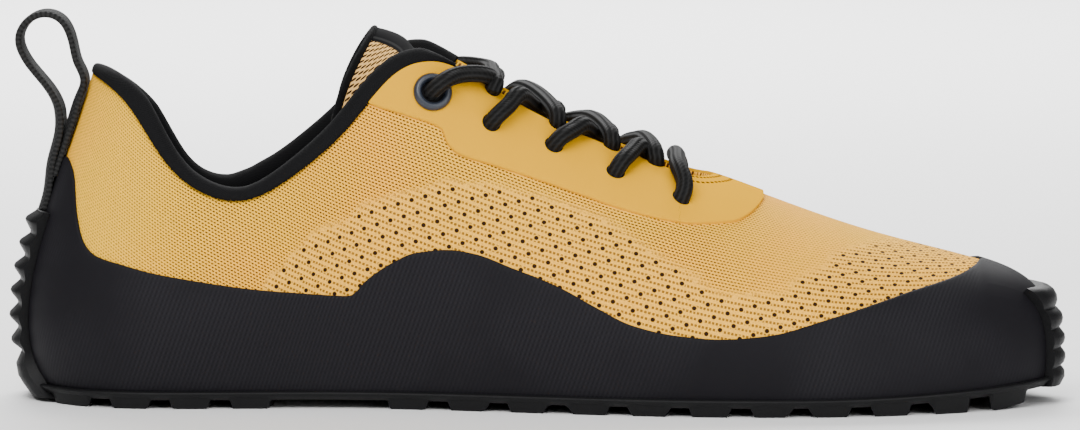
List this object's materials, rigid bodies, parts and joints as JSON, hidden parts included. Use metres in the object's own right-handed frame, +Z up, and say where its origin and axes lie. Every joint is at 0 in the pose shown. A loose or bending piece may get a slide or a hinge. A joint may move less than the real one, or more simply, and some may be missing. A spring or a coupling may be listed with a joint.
{
  "type": "barefoot shoe",
  "caption": "Low flat lace-up shoe with a thin lugged sole, a wide toe box, a knit upper, a high wrapped rand, a padded collar and a heel pull loop.",
  "frame": {"origin": "on the floor under the middle of the heel, on the tread's lug there", "axes": "+X from heel to toe, +Z up, the medial (inner) side at -Y"},
  "size_m": [0.2853, 0.104, 0.1047],
  "materials": {
    "rubber": "matt black moulded rubber",
    "foam": "black cloth-topped foam",
    "knit": "mustard yellow knit",
    "rand_film": "charcoal film, faintly woven",
    "yellow_film": "smooth mustard film",
    "padding": "black padded knit",
    "tongue_mesh": "tan open mesh with a black edge",
    "webbing": "black woven tape",
    "eyelet_paint": "dark slate paint",
    "cord": "black round braid"
  },
  "bodies": {
    "root": {"outsole": "rubber", "insole": "foam", "upper": "knit", "rand": "rand_film", "eyestay": "yellow_film", "collar_binding": "padding", "tongue": "tongue_mesh", "pull_loop": "webbing", "eyelet_medial": "eyelet_paint", "eyelet_lateral": "eyelet_paint", "laces": "cord"}
  },
  "joints": []
}
